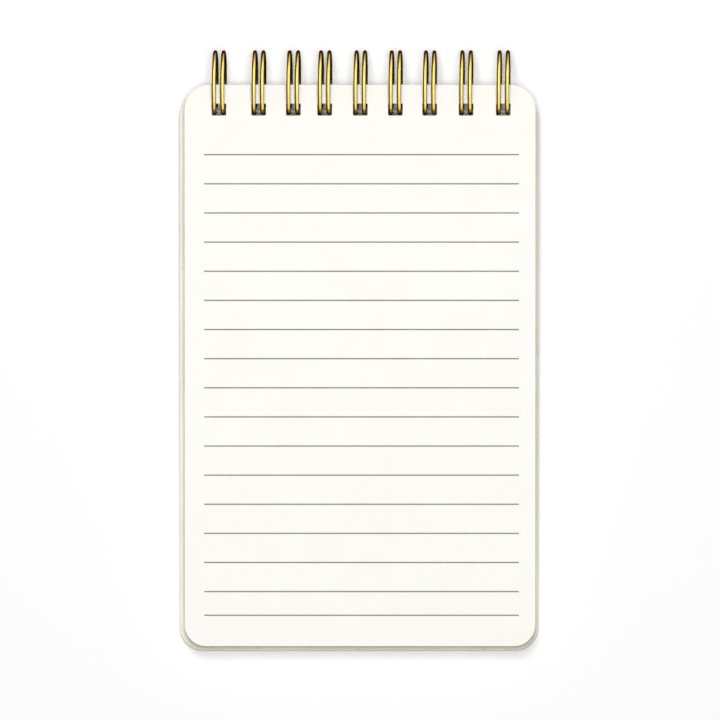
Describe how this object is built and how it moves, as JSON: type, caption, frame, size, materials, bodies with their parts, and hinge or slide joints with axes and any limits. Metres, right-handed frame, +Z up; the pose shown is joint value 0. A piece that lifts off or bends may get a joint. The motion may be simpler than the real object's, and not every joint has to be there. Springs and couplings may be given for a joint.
{
  "type": "pocket notebook",
  "caption": "Top-bound pocket notebook with ruled sheets on a closed twin-loop wire, open at its first page with the front cover folded behind.",
  "frame": {"origin": "middle of the footprint, on the table that the notebook lies on", "axes": "+X along the binding, +Y from the foot of the pages to the wire loops, +Z up from the table"},
  "size_m": [0.0856, 0.1432, 0.0154],
  "materials": {
    "page": "uncoated ivory writing paper with fine grey ruling",
    "back_board": "uncoated beige board",
    "front_card": "uncoated beige card, scored near the binding",
    "wire": "bright gold-coloured wire, polished"
  },
  "bodies": {
    "root": {"back_cover": "back_board", "wire_loop_1": "wire", "wire_loop_2": "wire", "wire_loop_3": "wire", "wire_loop_4": "wire", "wire_loop_5": "wire", "wire_loop_6": "wire", "wire_loop_7": "wire", "wire_loop_8": "wire", "wire_loop_9": "wire"},
    "cover_margin": {"front_cover_margin": "front_card"},
    "cover_panel": {"front_cover_panel": "front_card"},
    "sheet_01_leaf": {"sheet_01": "page"},
    "sheet_02_leaf": {"sheet_02": "page"},
    "sheet_03_leaf": {"sheet_03": "page"},
    "sheet_04_leaf": {"sheet_04": "page"},
    "sheet_05_leaf": {"sheet_05": "page"},
    "sheet_06_leaf": {"sheet_06": "page"},
    "sheet_07_leaf": {"sheet_07": "page"},
    "sheet_08_leaf": {"sheet_08": "page"},
    "sheet_09_leaf": {"sheet_09": "page"},
    "sheet_10_leaf": {"sheet_10": "page"},
    "sheet_11_leaf": {"sheet_11": "page"},
    "sheet_12_leaf": {"sheet_12": "page"},
    "sheet_13_leaf": {"sheet_13": "page"},
    "sheet_14_leaf": {"sheet_14": "page"},
    "sheet_15_leaf": {"sheet_15": "page"},
    "sheet_16_leaf": {"sheet_16": "page"},
    "sheet_17_leaf": {"sheet_17": "page"},
    "sheet_18_leaf": {"sheet_18": "page"},
    "sheet_19_leaf": {"sheet_19": "page"},
    "sheet_20_leaf": {"sheet_20": "page"},
    "sheet_21_leaf": {"sheet_21": "page"},
    "sheet_22_leaf": {"sheet_22": "page"},
    "sheet_23_leaf": {"sheet_23": "page"},
    "sheet_24_leaf": {"sheet_24": "page"},
    "sheet_25_leaf": {"sheet_25": "page"},
    "sheet_26_leaf": {"sheet_26": "page"},
    "sheet_27_leaf": {"sheet_27": "page"},
    "sheet_28_leaf": {"sheet_28": "page"},
    "sheet_29_leaf": {"sheet_29": "page"},
    "sheet_30_leaf": {"sheet_30": "page"},
    "sheet_31_leaf": {"sheet_31": "page"},
    "sheet_32_leaf": {"sheet_32": "page"},
    "sheet_33_leaf": {"sheet_33": "page"},
    "sheet_34_leaf": {"sheet_34": "page"},
    "sheet_35_leaf": {"sheet_35": "page"},
    "sheet_36_leaf": {"sheet_36": "page"},
    "sheet_37_leaf": {"sheet_37": "page"},
    "sheet_38_leaf": {"sheet_38": "page"},
    "sheet_39_leaf": {"sheet_39": "page"},
    "sheet_40_leaf": {"sheet_40": "page"}
  },
  "joints": [
    {"name": "front_cover_turn", "type": "hinge", "parent": "root", "child": "cover_margin", "pos_m": [0, 0.06388, 0.00773], "axis": [-1, 0, 0], "range_deg": [-319.1, 0], "deforming": ["front_cover_margin"]},
    {"name": "front_cover_fold", "type": "hinge", "parent": "cover_margin", "child": "cover_panel", "pos_m": [0, 0.05319, 0.00343], "axis": [-1, 0, 0], "range_deg": [-41.47, 0]},
    {"name": "sheet_01_turn", "type": "hinge", "parent": "root", "child": "sheet_01_leaf", "pos_m": [0, 0.06388, 0.00773], "axis": [-1, 0, 0], "range_deg": [0, 180]},
    {"name": "sheet_02_turn", "type": "hinge", "parent": "root", "child": "sheet_02_leaf", "pos_m": [0, 0.06388, 0.00773], "axis": [-1, 0, 0], "range_deg": [0, 177.69]},
    {"name": "sheet_03_turn", "type": "hinge", "parent": "root", "child": "sheet_03_leaf", "pos_m": [0, 0.06388, 0.00773], "axis": [-1, 0, 0], "range_deg": [0, 175.39]},
    {"name": "sheet_04_turn", "type": "hinge", "parent": "root", "child": "sheet_04_leaf", "pos_m": [0, 0.06388, 0.00773], "axis": [-1, 0, 0], "range_deg": [0, 173.08]},
    {"name": "sheet_05_turn", "type": "hinge", "parent": "root", "child": "sheet_05_leaf", "pos_m": [0, 0.06388, 0.00773], "axis": [-1, 0, 0], "range_deg": [0, 170.77]},
    {"name": "sheet_06_turn", "type": "hinge", "parent": "root", "child": "sheet_06_leaf", "pos_m": [0, 0.06388, 0.00773], "axis": [-1, 0, 0], "range_deg": [0, 168.46]},
    {"name": "sheet_07_turn", "type": "hinge", "parent": "root", "child": "sheet_07_leaf", "pos_m": [0, 0.06388, 0.00773], "axis": [-1, 0, 0], "range_deg": [0, 166.16]},
    {"name": "sheet_08_turn", "type": "hinge", "parent": "root", "child": "sheet_08_leaf", "pos_m": [0, 0.06388, 0.00773], "axis": [-1, 0, 0], "range_deg": [0, 163.85]},
    {"name": "sheet_09_turn", "type": "hinge", "parent": "root", "child": "sheet_09_leaf", "pos_m": [0, 0.06388, 0.00773], "axis": [-1, 0, 0], "range_deg": [0, 161.54]},
    {"name": "sheet_10_turn", "type": "hinge", "parent": "root", "child": "sheet_10_leaf", "pos_m": [0, 0.06388, 0.00773], "axis": [-1, 0, 0], "range_deg": [0, 159.23]},
    {"name": "sheet_11_turn", "type": "hinge", "parent": "root", "child": "sheet_11_leaf", "pos_m": [0, 0.06388, 0.00773], "axis": [-1, 0, 0], "range_deg": [0, 156.93]},
    {"name": "sheet_12_turn", "type": "hinge", "parent": "root", "child": "sheet_12_leaf", "pos_m": [0, 0.06388, 0.00773], "axis": [-1, 0, 0], "range_deg": [0, 154.62]},
    {"name": "sheet_13_turn", "type": "hinge", "parent": "root", "child": "sheet_13_leaf", "pos_m": [0, 0.06388, 0.00773], "axis": [-1, 0, 0], "range_deg": [0, 152.31]},
    {"name": "sheet_14_turn", "type": "hinge", "parent": "root", "child": "sheet_14_leaf", "pos_m": [0, 0.06388, 0.00773], "axis": [-1, 0, 0], "range_deg": [0, 150]},
    {"name": "sheet_15_turn", "type": "hinge", "parent": "root", "child": "sheet_15_leaf", "pos_m": [0, 0.06388, 0.00773], "axis": [-1, 0, 0], "range_deg": [0, 147.69]},
    {"name": "sheet_16_turn", "type": "hinge", "parent": "root", "child": "sheet_16_leaf", "pos_m": [0, 0.06388, 0.00773], "axis": [-1, 0, 0], "range_deg": [0, 145.39]},
    {"name": "sheet_17_turn", "type": "hinge", "parent": "root", "child": "sheet_17_leaf", "pos_m": [0, 0.06388, 0.00773], "axis": [-1, 0, 0], "range_deg": [0, 143.08]},
    {"name": "sheet_18_turn", "type": "hinge", "parent": "root", "child": "sheet_18_leaf", "pos_m": [0, 0.06388, 0.00773], "axis": [-1, 0, 0], "range_deg": [0, 140.77]},
    {"name": "sheet_19_turn", "type": "hinge", "parent": "root", "child": "sheet_19_leaf", "pos_m": [0, 0.06388, 0.00773], "axis": [-1, 0, 0], "range_deg": [0, 138.46]},
    {"name": "sheet_20_turn", "type": "hinge", "parent": "root", "child": "sheet_20_leaf", "pos_m": [0, 0.06388, 0.00773], "axis": [-1, 0, 0], "range_deg": [0, 136.16]},
    {"name": "sheet_21_turn", "type": "hinge", "parent": "root", "child": "sheet_21_leaf", "pos_m": [0, 0.06388, 0.00773], "axis": [-1, 0, 0], "range_deg": [0, 133.85]},
    {"name": "sheet_22_turn", "type": "hinge", "parent": "root", "child": "sheet_22_leaf", "pos_m": [0, 0.06388, 0.00773], "axis": [-1, 0, 0], "range_deg": [0, 131.54]},
    {"name": "sheet_23_turn", "type": "hinge", "parent": "root", "child": "sheet_23_leaf", "pos_m": [0, 0.06388, 0.00773], "axis": [-1, 0, 0], "range_deg": [0, 129.23]},
    {"name": "sheet_24_turn", "type": "hinge", "parent": "root", "child": "sheet_24_leaf", "pos_m": [0, 0.06388, 0.00773], "axis": [-1, 0, 0], "range_deg": [0, 126.92]},
    {"name": "sheet_25_turn", "type": "hinge", "parent": "root", "child": "sheet_25_leaf", "pos_m": [0, 0.06388, 0.00773], "axis": [-1, 0, 0], "range_deg": [0, 124.62]},
    {"name": "sheet_26_turn", "type": "hinge", "parent": "root", "child": "sheet_26_leaf", "pos_m": [0, 0.06388, 0.00773], "axis": [-1, 0, 0], "range_deg": [0, 122.31]},
    {"name": "sheet_27_turn", "type": "hinge", "parent": "root", "child": "sheet_27_leaf", "pos_m": [0, 0.06388, 0.00773], "axis": [-1, 0, 0], "range_deg": [0, 120]},
    {"name": "sheet_28_turn", "type": "hinge", "parent": "root", "child": "sheet_28_leaf", "pos_m": [0, 0.06388, 0.00773], "axis": [-1, 0, 0], "range_deg": [0, 117.69]},
    {"name": "sheet_29_turn", "type": "hinge", "parent": "root", "child": "sheet_29_leaf", "pos_m": [0, 0.06388, 0.00773], "axis": [-1, 0, 0], "range_deg": [0, 115.39]},
    {"name": "sheet_30_turn", "type": "hinge", "parent": "root", "child": "sheet_30_leaf", "pos_m": [0, 0.06388, 0.00773], "axis": [-1, 0, 0], "range_deg": [0, 113.08]},
    {"name": "sheet_31_turn", "type": "hinge", "parent": "root", "child": "sheet_31_leaf", "pos_m": [0, 0.06388, 0.00773], "axis": [-1, 0, 0], "range_deg": [0, 110.77]},
    {"name": "sheet_32_turn", "type": "hinge", "parent": "root", "child": "sheet_32_leaf", "pos_m": [0, 0.06388, 0.00773], "axis": [-1, 0, 0], "range_deg": [0, 108.46]},
    {"name": "sheet_33_turn", "type": "hinge", "parent": "root", "child": "sheet_33_leaf", "pos_m": [0, 0.06388, 0.00773], "axis": [-1, 0, 0], "range_deg": [0, 106.16]},
    {"name": "sheet_34_turn", "type": "hinge", "parent": "root", "child": "sheet_34_leaf", "pos_m": [0, 0.06388, 0.00773], "axis": [-1, 0, 0], "range_deg": [0, 103.85]},
    {"name": "sheet_35_turn", "type": "hinge", "parent": "root", "child": "sheet_35_leaf", "pos_m": [0, 0.06388, 0.00773], "axis": [-1, 0, 0], "range_deg": [0, 101.54]},
    {"name": "sheet_36_turn", "type": "hinge", "parent": "root", "child": "sheet_36_leaf", "pos_m": [0, 0.06388, 0.00773], "axis": [-1, 0, 0], "range_deg": [0, 99.23]},
    {"name": "sheet_37_turn", "type": "hinge", "parent": "root", "child": "sheet_37_leaf", "pos_m": [0, 0.06388, 0.00773], "axis": [-1, 0, 0], "range_deg": [0, 96.92]},
    {"name": "sheet_38_turn", "type": "hinge", "parent": "root", "child": "sheet_38_leaf", "pos_m": [0, 0.06388, 0.00773], "axis": [-1, 0, 0], "range_deg": [0, 94.62]},
    {"name": "sheet_39_turn", "type": "hinge", "parent": "root", "child": "sheet_39_leaf", "pos_m": [0, 0.06388, 0.00773], "axis": [-1, 0, 0], "range_deg": [0, 92.31]},
    {"name": "sheet_40_turn", "type": "hinge", "parent": "root", "child": "sheet_40_leaf", "pos_m": [0, 0.06388, 0.00773], "axis": [-1, 0, 0], "range_deg": [0, 90]}
  ],
  "couplings": [
    {"joint": "front_cover_fold", "follows": "front_cover_turn", "ratio": 0.12991},
    {"joint": "sheet_02_turn", "follows": "sheet_01_turn", "ratio": 0.98718},
    {"joint": "sheet_03_turn", "follows": "sheet_01_turn", "ratio": 0.97436},
    {"joint": "sheet_04_turn", "follows": "sheet_01_turn", "ratio": 0.96154},
    {"joint": "sheet_05_turn", "follows": "sheet_01_turn", "ratio": 0.94872},
    {"joint": "sheet_06_turn", "follows": "sheet_01_turn", "ratio": 0.9359},
    {"joint": "sheet_07_turn", "follows": "sheet_01_turn", "ratio": 0.92308},
    {"joint": "sheet_08_turn", "follows": "sheet_01_turn", "ratio": 0.91026},
    {"joint": "sheet_09_turn", "follows": "sheet_01_turn", "ratio": 0.89744},
    {"joint": "sheet_10_turn", "follows": "sheet_01_turn", "ratio": 0.88462},
    {"joint": "sheet_11_turn", "follows": "sheet_01_turn", "ratio": 0.87179},
    {"joint": "sheet_12_turn", "follows": "sheet_01_turn", "ratio": 0.85897},
    {"joint": "sheet_13_turn", "follows": "sheet_01_turn", "ratio": 0.84615},
    {"joint": "sheet_14_turn", "follows": "sheet_01_turn", "ratio": 0.83333},
    {"joint": "sheet_15_turn", "follows": "sheet_01_turn", "ratio": 0.82051},
    {"joint": "sheet_16_turn", "follows": "sheet_01_turn", "ratio": 0.80769},
    {"joint": "sheet_17_turn", "follows": "sheet_01_turn", "ratio": 0.79487},
    {"joint": "sheet_18_turn", "follows": "sheet_01_turn", "ratio": 0.78205},
    {"joint": "sheet_19_turn", "follows": "sheet_01_turn", "ratio": 0.76923},
    {"joint": "sheet_20_turn", "follows": "sheet_01_turn", "ratio": 0.75641},
    {"joint": "sheet_21_turn", "follows": "sheet_01_turn", "ratio": 0.74359},
    {"joint": "sheet_22_turn", "follows": "sheet_01_turn", "ratio": 0.73077},
    {"joint": "sheet_23_turn", "follows": "sheet_01_turn", "ratio": 0.71795},
    {"joint": "sheet_24_turn", "follows": "sheet_01_turn", "ratio": 0.70513},
    {"joint": "sheet_25_turn", "follows": "sheet_01_turn", "ratio": 0.69231},
    {"joint": "sheet_26_turn", "follows": "sheet_01_turn", "ratio": 0.67949},
    {"joint": "sheet_27_turn", "follows": "sheet_01_turn", "ratio": 0.66667},
    {"joint": "sheet_28_turn", "follows": "sheet_01_turn", "ratio": 0.65385},
    {"joint": "sheet_29_turn", "follows": "sheet_01_turn", "ratio": 0.64103},
    {"joint": "sheet_30_turn", "follows": "sheet_01_turn", "ratio": 0.62821},
    {"joint": "sheet_31_turn", "follows": "sheet_01_turn", "ratio": 0.61538},
    {"joint": "sheet_32_turn", "follows": "sheet_01_turn", "ratio": 0.60256},
    {"joint": "sheet_33_turn", "follows": "sheet_01_turn", "ratio": 0.58974},
    {"joint": "sheet_34_turn", "follows": "sheet_01_turn", "ratio": 0.57692},
    {"joint": "sheet_35_turn", "follows": "sheet_01_turn", "ratio": 0.5641},
    {"joint": "sheet_36_turn", "follows": "sheet_01_turn", "ratio": 0.55128},
    {"joint": "sheet_37_turn", "follows": "sheet_01_turn", "ratio": 0.53846},
    {"joint": "sheet_38_turn", "follows": "sheet_01_turn", "ratio": 0.52564},
    {"joint": "sheet_39_turn", "follows": "sheet_01_turn", "ratio": 0.51282},
    {"joint": "sheet_40_turn", "follows": "sheet_01_turn", "ratio": 0.5}
  ]
}
